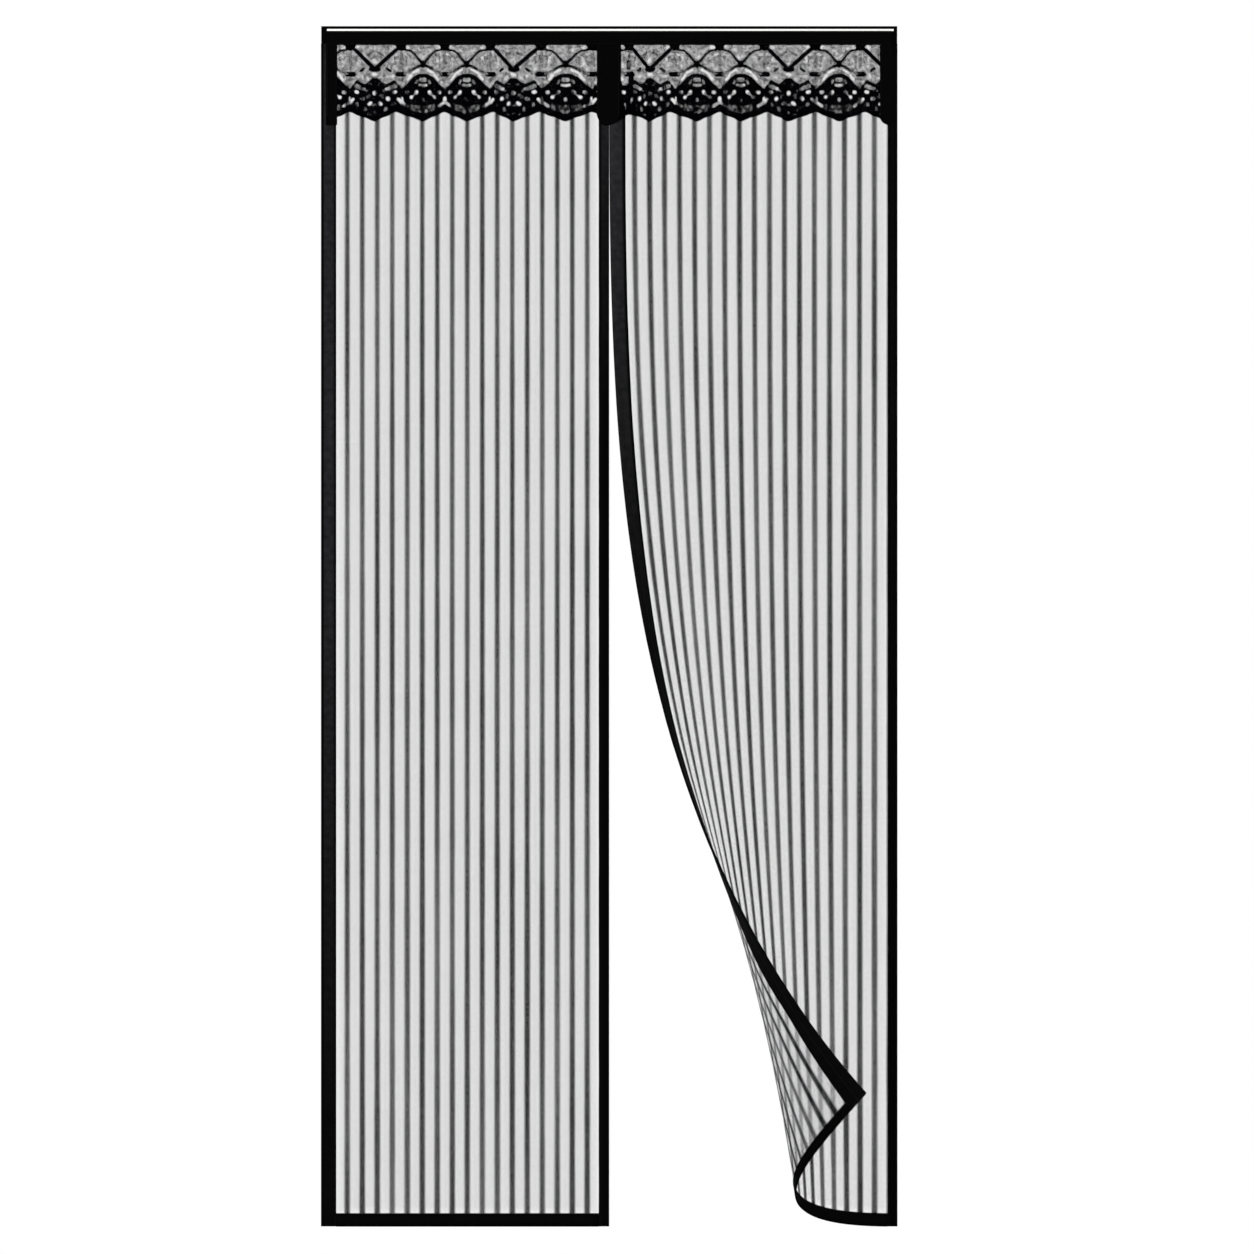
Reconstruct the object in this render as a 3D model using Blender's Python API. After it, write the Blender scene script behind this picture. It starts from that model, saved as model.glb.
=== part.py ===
"""Magnetic insect screen for a doorway.

Two halves of striped mesh hang from one top binding and meet at the middle, where magnets in the sleeves
of their inner edges hold them shut. A lace valance runs across the top. The left half hangs straight, and
the right half is turned back at its free lower corner, towards the front.

Units are metres, +Z is up and the front faces -Y. The origin is the centre of the back face of the top
fixing tape. Each piece is first made flat, from u across, n out towards the front and v down from the
top edge, and is then hung in its place.
"""

import math

import bmesh
import bpy
from mathutils import Vector

# The whole screen
WIDTH = 1.008
HEIGHT = 2.100
CENTRE_GAP = 0.003
CLEARANCE = 0.0003

# Mesh and its woven stripes; a first stripe is measured from its half's outer edge
MESH_WALL = 0.0007
STRIPE_PITCH = 0.02625
STRIPE_WIDTH = 0.0078
STRIPE_RISE = 0.0005
STRIPE_SLOPE = 0.0010
LEFT_FIRST_STRIPE = 0.0455
RIGHT_FIRST_STRIPE = 0.0400

# Folded binding tape
TAPE_WALL = 0.0007
TOP_HEM = 0.0300
BOTTOM_HEM = 0.0232
LEFT_SIDE_WIDTH = 0.0263
RIGHT_SIDE_WIDTH = 0.0166

# Magnets and the sleeves round them; the right sleeve is cut wider where it turns over
MAGNET_COUNT = 11
MAGNET_LENGTH = 0.060
MAGNET_WIDTH = 0.008
MAGNET_THICKNESS = 0.002
MAGNET_ROOM = 0.0007
MAGNET_END_SPACE = 0.045
LEFT_SLEEVE_WIDTH = 0.0168
RIGHT_SLEEVE_WIDTH = 0.0225
MESH_TUCK = 0.0040
SLEEVE_CORNER = 0.0008
SLEEVE_FLARE = 0.0150
FLARE_EASE = 0.0095
FLARE_START = 1.25
FLARE_FULL = 1.65
FLARE_TURN = 1.70
FLARE_END = 1.86

# White piping and header band, measured down from the top edge
PIPING_TOP = 0.0044
PIPING_WIDTH = 0.0045
PIPING_WALL = 0.0012
HEADER_WIDTH = 0.0233
HEADER_INSET = 0.0085

# Lace valance; each one has a lead before its first whole scallop
LACE_WALL = 0.0006
LACE_LAP = 0.0050
SCALLOP_PITCH = 0.0831
SCALLOP_POINTS = 8
LEFT_LACE_LEAD = 0.0217
RIGHT_LACE_LEAD = 0.0109
LACE_MIDDLE = 0.1615
SCALLOP_DEPTH = 0.0130

# Tapes over the lace's ends
END_TAPE_WIDTH = 0.0220
END_TAPE_FOOT = 0.1724
END_TAPE_CORNER = 0.0160
COVER_WIDTH = 0.0404
COVER_SHIFT = -0.0016
COVER_SIDE_FOOT = 0.1560
COVER_DROP = 0.0165
CORNER_POINTS = 6

# Hook-and-loop tape on the back
FIXING_WALL = 0.0016
TOP_FIXING_WIDTH = 0.0200
FIXING_INSET = 0.0020

# Curl of the right half, whose free edge turns further the lower it lies
CURL_START = 0.175
CURL_TURN = math.radians(61.564)
CURL_GROWTH = math.radians(100.296)
CURL_FLATTEN = 0.38
CURL_FLATTEN_POWER = 8
CORNER_LIFT = 0.2328
LIFT_POWER_DOWN = 4.5
LIFT_POWER_ACROSS = 2.4

# Layers, from the back to the front, as distances from the middle of the mesh
SLOT_BACK = -MESH_WALL / 2 - CLEARANCE
SLOT_FRONT = MESH_WALL / 2 + STRIPE_RISE + CLEARANCE
BINDING_BACK = SLOT_BACK - TAPE_WALL
BINDING_FRONT = SLOT_FRONT + TAPE_WALL
SLEEVE_MIDDLE = (SLOT_BACK + SLOT_FRONT) / 2
CHANNEL_HALF = MAGNET_THICKNESS / 2 + MAGNET_ROOM
SLEEVE_BACK = SLEEVE_MIDDLE - CHANNEL_HALF - TAPE_WALL
SLEEVE_FRONT = SLEEVE_MIDDLE + CHANNEL_HALF + TAPE_WALL
LACE_BACK = max(BINDING_FRONT, SLEEVE_FRONT) + CLEARANCE
LACE_FRONT = LACE_BACK + LACE_WALL
HEADER_BACK = LACE_FRONT + CLEARANCE
HEADER_FRONT = HEADER_BACK + TAPE_WALL
MESH_DEPTH = FIXING_WALL + CLEARANCE - BINDING_BACK

# Places down the screen, measured from the top edge
TOP_EDGE = TOP_HEM / 2
MESH_TOP = TAPE_WALL + CLEARANCE
HALF_TOP = TOP_HEM + CLEARANCE
BOTTOM_HEM_TOP = HEIGHT - BOTTOM_HEM
MESH_BOTTOM = HEIGHT - TAPE_WALL - CLEARANCE
HEADER_TOP = PIPING_TOP + PIPING_WIDTH + CLEARANCE
HEADER_BOTTOM = HEADER_TOP + HEADER_WIDTH
HALF_WIDTH = (WIDTH - CENTRE_GAP) / 2
MESH_INSET = TAPE_WALL + CLEARANCE

BLACK_TAPE = (0.0065, 0.0065, 0.0070)
BLACK_MESH = (0.0130, 0.0130, 0.0140)
BLACK_LACE = (0.0050, 0.0050, 0.0055)
WHITE_CORD = (0.8500, 0.8500, 0.8400)
MAGNET_GREY = (0.0350, 0.0340, 0.0330)
HOOK_BLACK = (0.0100, 0.0100, 0.0100)


def clear_scene():
    for obj in list(bpy.data.objects):
        bpy.data.objects.remove(obj, do_unlink=True)


def material(name, colour, roughness, metallic=0.0, alpha=1.0):
    made = bpy.data.materials.new(name)
    made.use_nodes = True
    shader = made.node_tree.nodes["Principled BSDF"]
    shader.inputs["Base Color"].default_value = (*colour, 1.0)
    shader.inputs["Roughness"].default_value = roughness
    shader.inputs["Metallic"].default_value = metallic
    shader.inputs["Alpha"].default_value = alpha
    made.diffuse_color = (*colour, alpha)
    return made


# Where a flat point hangs


def smooth_step(share):
    share = min(max(share, 0.0), 1.0)
    return share * share * (3 - 2 * share)


def flare_at(v):
    """How much wider the right sleeve is at this height than at its top."""
    wider = smooth_step((v - FLARE_START) / (FLARE_FULL - FLARE_START))
    narrower = smooth_step((v - FLARE_TURN) / (FLARE_END - FLARE_TURN))
    return SLEEVE_FLARE * wider - FLARE_EASE * narrower


def flared(u, v):
    """Moves the mesh and the sleeve's mouth away from the free edge, and leaves the magnet channel alone."""
    mouth = HALF_WIDTH - RIGHT_SLEEVE_WIDTH
    tuck = mouth + MESH_TUCK
    channel = HALF_WIDTH - channel_inner()
    if u > (tuck + channel) / 2:
        return u
    return u - flare_at(v) * min(u / mouth, 1.0) ** 4


def curled(u, v):
    """Point of the right half's middle surface."""
    share = max(0.0, (v - CURL_START) / (HEIGHT - CURL_START))
    turn = CURL_TURN * share + CURL_GROWTH * share**2
    lift = CORNER_LIFT * (v / HEIGHT) ** LIFT_POWER_DOWN * (max(u, 0.0) / HALF_WIDTH) ** LIFT_POWER_ACROSS
    if turn < 1e-6:
        return Vector((WIDTH / 2 - u, -MESH_DEPTH, TOP_EDGE - v + lift))
    radius = HALF_WIDTH / turn
    angle = turn * u / HALF_WIDTH
    flatter = 1 - CURL_FLATTEN * share**CURL_FLATTEN_POWER
    forward = flatter * radius * (1 - math.cos(angle))
    return Vector((WIDTH / 2 - radius * math.sin(angle), -MESH_DEPTH - forward, TOP_EDGE - v + lift))


def on_right(u, n, v):
    """A point of the right half, n in front of its middle surface."""
    across = flared(u, v)
    step = 1e-4
    along = curled(across + step, v) - curled(across - step, v)
    down = curled(across, v + step) - curled(across, v - step)
    return curled(across, v) + n * along.cross(down).normalized()


def on_left(u, n, v):
    return Vector((u - WIDTH / 2, -MESH_DEPTH - n, TOP_EDGE - v))


def on_top(x, n, v):
    """A point of a flat piece that spans both halves, with x from the middle."""
    return Vector((x, -MESH_DEPTH - n, TOP_EDGE - v))


# How a piece is made


def split_caps(bm, section, down):
    """Divides the end faces at each line that both layers of the section share, so that they can bend."""
    lines = [along for along, n in section]
    axis = Vector((1, 0, 0)) if down else Vector((0, 0, 1))
    for line in sorted({along for along in lines if lines.count(along) > 1})[1:-1]:
        caps = [face for face in bm.faces if len(face.verts) > 4]
        edges = {edge for face in caps for edge in face.edges}
        verts = {vert for face in caps for vert in face.verts}
        geom = [*caps, *edges, *verts]
        bmesh.ops.bisect_plane(bm, geom=geom, dist=1e-6, plane_co=axis * line, plane_no=axis)


def split_quads(bm):
    """Cuts each four-sided face from its near upper corner, so that facets of neighbouring pieces match."""
    for face in [face for face in bm.faces if len(face.verts) == 4]:
        corners = list(face.verts)
        first = min(range(4), key=lambda i: sum(corners[i].co))
        bmesh.utils.face_split(face, corners[first], corners[(first + 2) % 4])
    caps = [face for face in bm.faces if len(face.verts) > 4]
    bmesh.ops.triangulate(bm, faces=caps, ngon_method="EAR_CLIP")


def finish(name, bm, hang, finish_material, smooth=False):
    """Hangs the flat mesh in place and makes it an object."""
    for vert in bm.verts:
        vert.co = hang(*vert.co)
    bmesh.ops.recalc_face_normals(bm, faces=bm.faces[:])
    if bm.calc_volume(signed=True) < 0:
        bmesh.ops.reverse_faces(bm, faces=bm.faces[:])
    mesh = bpy.data.meshes.new(name)
    bm.to_mesh(mesh)
    bm.free()
    if smooth:
        mesh.shade_smooth()
        mesh.set_sharp_from_angle(angle=math.radians(30))
    mesh.materials.append(finish_material)
    obj = bpy.data.objects.new(name, mesh)
    bpy.context.scene.collection.objects.link(obj)
    return obj


def swept(section, stops, down=True):
    """Extrudes a section through the stops. It runs down the screen, or across it where down is false."""

    def place(along, n, stop):
        return (along, n, stop) if down else (stop, n, along)

    bm = bmesh.new()
    corners = [bm.verts.new(place(along, n, stops[0])) for along, n in section]
    ring = [bm.edges.new((here, after)) for here, after in zip(corners, corners[1:] + corners[:1])]
    bm.faces.new(corners)
    for before, after in zip(stops, stops[1:]):
        made = bmesh.ops.extrude_edge_only(bm, edges=ring)["geom"]
        ring = [item for item in made if isinstance(item, bmesh.types.BMEdge)]
        moved = [item for item in made if isinstance(item, bmesh.types.BMVert)]
        bmesh.ops.translate(bm, verts=moved, vec=Vector(place(0, 0, after - before)))
    bmesh.ops.edgeloop_fill(bm, edges=ring)
    split_caps(bm, section, down)
    split_quads(bm)
    return bm


def plate(outline, holes, back, front):
    """A flat plate with holes, from loops of points (across, down)."""
    bm = bmesh.new()
    for loop in [outline, *holes]:
        verts = [bm.verts.new((x, back, v)) for x, v in loop]
        for here, after in zip(verts, verts[1:] + verts[:1]):
            bm.edges.new((here, after))
    bmesh.ops.triangle_fill(bm, edges=bm.edges[:], use_beauty=True, normal=(0, 1, 0))
    made = bmesh.ops.extrude_face_region(bm, geom=bm.faces[:])["geom"]
    moved = [item for item in made if isinstance(item, bmesh.types.BMVert)]
    bmesh.ops.translate(bm, verts=moved, vec=(0, front - back, 0))
    return bm


def box(low, high):
    """A flat strip between two corners (across, outwards, down)."""
    section = [(low[0], low[1]), (high[0], low[1]), (high[0], high[1]), (low[0], high[1])]
    return swept(section, [low[2], high[2]])


# Sections


def folded(width, edge=0.0, towards=1):
    """Tape folded over an edge: closed at the edge, open at its width."""
    far = edge + towards * width
    fold = edge + towards * TAPE_WALL
    return [
        (edge, BINDING_BACK),
        (far, BINDING_BACK),
        (far, SLOT_BACK),
        (fold, SLOT_BACK),
        (fold, SLOT_FRONT),
        (far, SLOT_FRONT),
        (far, BINDING_FRONT),
        (edge, BINDING_FRONT),
    ]


def channel_inner():
    """Distance of the magnet channel's inner side from the free edge."""
    return TAPE_WALL + 2 * MAGNET_ROOM + MAGNET_WIDTH


def sleeve(width):
    """Tape folded over the free edge, with a mouth for the mesh and a channel for the magnets."""
    edge = HALF_WIDTH
    mouth = edge - width
    tuck = mouth + MESH_TUCK
    inner = edge - channel_inner()
    outer = edge - TAPE_WALL
    corner = edge - SLEEVE_CORNER
    channel_back = SLEEVE_MIDDLE - CHANNEL_HALF
    channel_front = SLEEVE_MIDDLE + CHANNEL_HALF
    return [
        (mouth, BINDING_BACK),
        (tuck, BINDING_BACK),
        (inner, SLEEVE_BACK),
        (corner, SLEEVE_BACK),
        (edge, SLEEVE_BACK + SLEEVE_CORNER),
        (edge, SLEEVE_FRONT - SLEEVE_CORNER),
        (corner, SLEEVE_FRONT),
        (inner, SLEEVE_FRONT),
        (tuck, BINDING_FRONT),
        (mouth, BINDING_FRONT),
        (mouth, SLOT_FRONT),
        (tuck, SLOT_FRONT),
        (inner, SLOT_FRONT),
        (inner, channel_front),
        (outer, channel_front),
        (outer, channel_back),
        (inner, channel_back),
        (inner, SLOT_BACK),
        (tuck, SLOT_BACK),
        (mouth, SLOT_BACK),
    ]


def stripe_spans(first_stripe, sleeve_width):
    """Both edges of each stripe, for as many as fit before the sleeve."""
    room = HALF_WIDTH - sleeve_width - STRIPE_WIDTH / 2 - first_stripe
    middles = [first_stripe + number * STRIPE_PITCH for number in range(int(room / STRIPE_PITCH) + 1)]
    return [(middle - STRIPE_WIDTH / 2, middle + STRIPE_WIDTH / 2) for middle in middles]


def mesh_section(first_stripe, side_width, sleeve_width):
    """The mesh from its outer edge to its end in the sleeve, with its stripes raised on the front."""
    mouth = HALF_WIDTH - sleeve_width
    back = [(MESH_INSET, -MESH_WALL / 2), (side_width, -MESH_WALL / 2)]
    front = [(MESH_INSET, MESH_WALL / 2), (side_width, MESH_WALL / 2)]
    for near, far in stripe_spans(first_stripe, sleeve_width):
        back += [(near, -MESH_WALL / 2), (far, -MESH_WALL / 2)]
        front += [
            (near, MESH_WALL / 2),
            (near + STRIPE_SLOPE, MESH_WALL / 2 + STRIPE_RISE),
            (far - STRIPE_SLOPE, MESH_WALL / 2 + STRIPE_RISE),
            (far, MESH_WALL / 2),
        ]
    for end in (mouth, mouth + MESH_TUCK - CLEARANCE):
        back.append((end, -MESH_WALL / 2))
        front.append((end, MESH_WALL / 2))
    return back + front[::-1]


# The pieces of one half


def magnet_spans():
    """Upper and lower end of each magnet."""
    first = HALF_TOP + MAGNET_END_SPACE
    last = HEIGHT - MAGNET_END_SPACE - MAGNET_LENGTH
    step = (last - first) / (MAGNET_COUNT - 1)
    return [(first + k * step, first + k * step + MAGNET_LENGTH) for k in range(MAGNET_COUNT)]


def rows(top, bottom):
    """Heights at which a curled piece bends: where the curl starts and at the ends of magnets and hems."""
    ends = [end for span in magnet_spans() for end in span]
    bends = sorted([*ends, HALF_TOP, CURL_START, BOTTOM_HEM_TOP, MESH_BOTTOM])
    return [top, *[bend for bend in bends if top < bend < bottom], bottom]


def make_half(side, hang, first_stripe, side_width, sleeve_width, bends, finishes):
    section = mesh_section(first_stripe, side_width, sleeve_width)
    stops = rows(MESH_TOP, MESH_BOTTOM) if bends else [MESH_TOP, MESH_BOTTOM]
    finish(f"{side}_mesh_panel", swept(section, stops), hang, finishes["mesh"], smooth=bends)

    stops = rows(HALF_TOP, HEIGHT) if bends else [HALF_TOP, HEIGHT]
    finish(f"{side}_side_binding", swept(folded(side_width), stops), hang, finishes["tape"], smooth=bends)
    finish(f"{side}_magnet_sleeve", swept(sleeve(sleeve_width), stops), hang, finishes["tape"], smooth=bends)

    start = side_width + CLEARANCE
    end = HALF_WIDTH - sleeve_width - CLEARANCE
    edges = [edge for span in stripe_spans(first_stripe, sleeve_width) for edge in span]
    stops = [start, *edges, end] if bends else [start, end]
    hem = swept(folded(BOTTOM_HEM, edge=HEIGHT, towards=-1), stops, down=False)
    finish(f"{side}_bottom_binding", hem, hang, finishes["tape"], smooth=bends)

    far = HALF_WIDTH - TAPE_WALL - MAGNET_ROOM
    half = MAGNET_THICKNESS / 2
    for number, (top, bottom) in enumerate(magnet_spans(), start=1):
        low = (far - MAGNET_WIDTH, SLEEVE_MIDDLE - half, top)
        high = (far, SLEEVE_MIDDLE + half, bottom)
        finish(f"{side}_magnet_{number:02d}", box(low, high), hang, finishes["magnet"])


# Top binding, piping and header


def make_header(finishes):
    half = WIDTH / 2
    finish("top_binding", swept(folded(TOP_HEM), [-half, half], down=False), on_top, finishes["tape"])

    inner = half - HEADER_INSET
    low = (-inner, BINDING_FRONT + CLEARANCE, PIPING_TOP)
    high = (inner, BINDING_FRONT + CLEARANCE + PIPING_WALL, PIPING_TOP + PIPING_WIDTH)
    finish("white_piping", box(low, high), on_top, finishes["piping"])
    low = (-inner, HEADER_BACK, HEADER_TOP)
    finish("header_band", box(low, (inner, HEADER_FRONT, HEADER_BOTTOM)), on_top, finishes["tape"])


# Lace


def oval(x, v, wide, tall, sides=8):
    """An eyelet of the lace."""
    return [
        (x + wide * math.cos(math.tau * i / sides), v + tall * math.sin(math.tau * i / sides)) for i in range(sides)
    ]


def leaf(start, end, wide):
    """A leaf-shaped opening between two points."""
    across, down = end[0] - start[0], end[1] - start[1]
    length = math.hypot(across, down)
    side = Vector((-down, across)) * (wide / 2 / length)
    points = []
    for share, turn in ((0.0, 0), (0.28, 1), (0.72, 1), (1.0, 0), (0.72, -1), (0.28, -1)):
        points.append((start[0] + across * share + side.x * turn, start[1] + down * share + side.y * turn))
    return points


def mirrored(shape):
    return [(-x, v) for x, v in reversed(shape)]


def valley_openings():
    """Openings of a scallop under a V of the upper trellis."""
    wings = [
        leaf((0.010, 0.083), (0.031, 0.092), 0.007),
        oval(0.024, 0.1165, 0.0050, 0.0040),
        leaf((0.006, 0.1290), (0.017, 0.1250), 0.005),
    ]
    middle = [
        [(-0.0290, 0.0370), (0.0290, 0.0370), (0.0, 0.0680)],
        oval(0.0, 0.1080, 0.0045, 0.0050),
        leaf((-0.011, 0.1400), (0.011, 0.1400), 0.006),
    ]
    return middle + wings + [mirrored(wing) for wing in wings]


def arch_openings():
    """Openings of a scallop under an arch."""
    wings = [
        leaf((0.003, 0.0800), (0.030, 0.1020), 0.006),
        oval(0.013, 0.1150, 0.0040, 0.0045),
        oval(0.024, 0.1235, 0.0042, 0.0040),
        leaf((0.006, 0.1440), (0.030, 0.1360), 0.005),
    ]
    middle = [
        [(-0.0290, 0.0370), (0.0290, 0.0370), (0.0, 0.0600)],
        leaf((-0.009, 0.1000), (0.009, 0.1000), 0.007),
    ]
    return middle + wings + [mirrored(wing) for wing in wings]


def trellis_opening():
    """The rounded opening of the trellis between two scallops."""
    return [(0.0, 0.0430), (0.026, 0.0600), (0.026, 0.0720), (0.0, 0.0800), (-0.026, 0.0720), (-0.026, 0.0600)]


def scallop_edge(x, start):
    """How far down the lace reaches at x."""
    phase = math.tau * (x - start) / SCALLOP_PITCH
    return LACE_MIDDLE - SCALLOP_DEPTH / 2 * math.cos(phase)


def lace_plate(start, low, high):
    """A lace valance from low to high, whose first whole scallop begins at start, with as many as fit."""
    count = int((high - start) / SCALLOP_PITCH)
    step = SCALLOP_PITCH / SCALLOP_POINTS
    first = math.floor((low - start) / step) + 1
    last = math.ceil((high - start) / step) - 1
    across = [low, *[start + step * i for i in range(first, last + 1)], high]
    outline = [(x, scallop_edge(x, start)) for x in across]
    outline += [(high, HEADER_TOP), (low, HEADER_TOP)]
    holes = []
    for number in range(count):
        middle = start + (number + 0.5) * SCALLOP_PITCH
        openings = valley_openings() if number % 3 == 0 else arch_openings()
        holes += [[(x + middle, v) for x, v in opening] for opening in openings]
    for number in range(1, count):
        holes.append([(x + start + number * SCALLOP_PITCH, v) for x, v in trellis_opening()])
    return plate(outline, holes, LACE_BACK, LACE_FRONT)


def make_lace(finishes):
    outer = WIDTH / 2 - HEADER_INSET - END_TAPE_WIDTH + LACE_LAP
    inner_left = COVER_SHIFT - COVER_WIDTH / 2 + LACE_LAP
    inner_right = COVER_SHIFT + COVER_WIDTH / 2 - LACE_LAP
    left = lace_plate(LEFT_LACE_LEAD - outer, -outer, inner_left)
    finish("left_lace", left, on_top, finishes["lace"])
    right = lace_plate(inner_right + RIGHT_LACE_LEAD, inner_right, outer)
    finish("right_lace", right, on_top, finishes["lace"])


# Tapes over the lace's ends


def rounded_corner(x, v, radius, towards):
    """Arc that rounds a lower corner, from the side edge to the foot."""
    points = []
    for i in range(CORNER_POINTS + 1):
        angle = math.pi / 2 * i / CORNER_POINTS
        points.append((x - towards * radius * (1 - math.cos(angle)), v - radius * (1 - math.sin(angle))))
    return points


def make_end_tapes(finishes):
    top = HEADER_BOTTOM + CLEARANCE
    outer = WIDTH / 2 - HEADER_INSET
    inner = outer - END_TAPE_WIDTH
    square = [(-outer, top), (-inner, top), (-inner, END_TAPE_FOOT), (-outer, END_TAPE_FOOT)]
    left = plate(square, [], HEADER_BACK, HEADER_FRONT)
    finish("left_lace_side_tape", left, on_top, finishes["tape"])
    corner = rounded_corner(inner, END_TAPE_FOOT, END_TAPE_CORNER, -1)
    outline = [(outer, top), (inner, top), *corner, (outer, END_TAPE_FOOT)]
    right = plate(outline, [], HEADER_BACK, HEADER_FRONT)
    finish("right_lace_side_tape", right, on_top, finishes["tape"])

    half = COVER_WIDTH / 2
    foot = []
    for i in range(2 * CORNER_POINTS + 1):
        share = i / CORNER_POINTS - 1
        foot.append((COVER_SHIFT + half * share, COVER_SIDE_FOOT + COVER_DROP * math.cos(math.pi / 2 * share)))
    outline = [(COVER_SHIFT + half, top), (COVER_SHIFT - half, top), *foot]
    finish("centre_cover", plate(outline, [], HEADER_BACK, HEADER_FRONT), on_top, finishes["tape"])


# Hook-and-loop tape on the back


def make_fixings(finishes):
    front = BINDING_BACK - CLEARANCE
    back = front - FIXING_WALL
    half = WIDTH / 2
    top = (TOP_HEM - TOP_FIXING_WIDTH) / 2
    low = (FIXING_INSET - half, back, top)
    high = (half - FIXING_INSET, front, top + TOP_FIXING_WIDTH)
    finish("top_fixing_tape", box(low, high), on_top, finishes["hook"])

    start = HALF_TOP
    end = HEIGHT - FIXING_INSET
    low = (FIXING_INSET - half, back, start)
    high = (LEFT_SIDE_WIDTH - FIXING_INSET - half, front, end)
    finish("left_fixing_tape", box(low, high), on_top, finishes["hook"])
    low = (half - RIGHT_SIDE_WIDTH + FIXING_INSET, back, start)
    high = (half - FIXING_INSET, front, end)
    finish("right_fixing_tape", box(low, high), on_top, finishes["hook"])


def main():
    clear_scene()
    finishes = {
        "mesh": material("black_polyester_mesh", BLACK_MESH, 0.6, alpha=0.3),
        "tape": material("black_polyester_tape", BLACK_TAPE, 0.75),
        "lace": material("black_knitted_lace", BLACK_LACE, 0.7),
        "piping": material("white_polyester_piping", WHITE_CORD, 0.6),
        "magnet": material("flexible_magnet", MAGNET_GREY, 0.55),
        "hook": material("black_hook_and_loop", HOOK_BLACK, 0.95),
    }
    make_half("left", on_left, LEFT_FIRST_STRIPE, LEFT_SIDE_WIDTH, LEFT_SLEEVE_WIDTH, False, finishes)
    make_half("right", on_right, RIGHT_FIRST_STRIPE, RIGHT_SIDE_WIDTH, RIGHT_SLEEVE_WIDTH, True, finishes)
    make_header(finishes)
    make_lace(finishes)
    make_end_tapes(finishes)
    make_fixings(finishes)


main()
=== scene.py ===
import math

import bmesh
import bpy
import numpy as np
from mathutils import Matrix, Vector


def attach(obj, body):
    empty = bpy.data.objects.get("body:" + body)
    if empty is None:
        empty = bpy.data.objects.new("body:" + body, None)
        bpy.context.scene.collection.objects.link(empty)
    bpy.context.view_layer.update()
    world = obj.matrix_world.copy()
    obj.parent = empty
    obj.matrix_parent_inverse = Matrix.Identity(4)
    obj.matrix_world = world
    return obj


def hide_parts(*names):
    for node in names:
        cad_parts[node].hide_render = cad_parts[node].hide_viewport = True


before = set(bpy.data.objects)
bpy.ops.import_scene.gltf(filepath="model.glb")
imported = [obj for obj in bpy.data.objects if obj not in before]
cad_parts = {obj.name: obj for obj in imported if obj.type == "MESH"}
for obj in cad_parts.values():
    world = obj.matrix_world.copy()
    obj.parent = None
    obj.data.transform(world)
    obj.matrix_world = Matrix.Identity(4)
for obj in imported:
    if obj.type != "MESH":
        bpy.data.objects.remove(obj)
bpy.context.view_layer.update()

# The net of the two halves
# Black polyester net, warp-knitted in small square cells, with a denser band knitted in every 26 mm.
# Both halves are cut from the same net. The left one hangs straight, and the right one is turned back at
# its free lower corner, so that it curls forward further towards its foot.

WIDTH, HEIGHT = 1.008, 2.100
HALF_WIDTH = 0.5025
TOP_EDGE = 0.015
MESH_DEPTH = 0.00325
NET_TOP, NET_BOTTOM = 0.001, 2.099
NET_INSET = 0.001
LEFT_NET_END, RIGHT_NET_END = 0.4894, 0.4837
STRIPE_PITCH = 0.02625
STRIPE_HALF = 0.0041
STRIPE_RISE = 0.0004
LEFT_FIRST_STRIPE, RIGHT_FIRST_STRIPE = 0.0455, 0.0400
COLUMNS_PER_STRIPE = 10

CURL_START = 0.175
CURL_TURN, CURL_GROWTH = math.radians(61.564), math.radians(100.296)
CURL_FLATTEN, CURL_FLATTEN_POWER = 0.38, 8
CORNER_LIFT, LIFT_POWER_DOWN, LIFT_POWER_ACROSS = 0.2328, 4.5, 2.4
SLEEVE_FLARE, FLARE_EASE = 0.0150, 0.0095
FLARE_START, FLARE_FULL, FLARE_TURN, FLARE_END = 1.25, 1.65, 1.70, 1.86
LEFT_SLEEVE_WIDTH, RIGHT_SLEEVE_WIDTH = 0.0168, 0.0225
MESH_TUCK, CHANNEL_WIDTH = 0.0040, 0.0101
LEFT_SIDE_WIDTH, RIGHT_SIDE_WIDTH = 0.0263, 0.0166
BOTTOM_HEM = 0.0232


def smooth_step(share):
    share = min(max(share, 0.0), 1.0)
    return share * share * (3 - 2 * share)


def flared(u, v):
    """Where the cloth lies across the right half, whose sleeve is cut wider where it turns over."""
    wider = smooth_step((v - FLARE_START) / (FLARE_FULL - FLARE_START))
    narrower = smooth_step((v - FLARE_TURN) / (FLARE_END - FLARE_TURN))
    mouth = HALF_WIDTH - RIGHT_SLEEVE_WIDTH
    if u > (mouth + MESH_TUCK + HALF_WIDTH - CHANNEL_WIDTH) / 2:
        return u
    return u - (SLEEVE_FLARE * wider - FLARE_EASE * narrower) * min(u / mouth, 1.0) ** 4


def curled(u, v):
    """A point of the right half's middle surface, u in from its outer edge and v down from the top."""
    share = max(0.0, (v - CURL_START) / (HEIGHT - CURL_START))
    turn = max(CURL_TURN * share + CURL_GROWTH * share**2, 1e-6)
    radius = HALF_WIDTH / turn
    angle = turn * u / HALF_WIDTH
    forward = (1 - CURL_FLATTEN * share**CURL_FLATTEN_POWER) * radius * (1 - math.cos(angle))
    lift = CORNER_LIFT * (v / HEIGHT) ** LIFT_POWER_DOWN * (max(u, 0.0) / HALF_WIDTH) ** LIFT_POWER_ACROSS
    return Vector((WIDTH / 2 - radius * math.sin(angle), -MESH_DEPTH - forward, TOP_EDGE - v + lift))


def on_right(u, n, v):
    """A point of the right half, n in front of its middle surface."""
    across = flared(u, v)
    step = 1e-4
    along = curled(across + step, v) - curled(across - step, v)
    down = curled(across, v + step) - curled(across, v - step)
    return curled(across, v) + n * along.cross(down).normalized()


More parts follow.
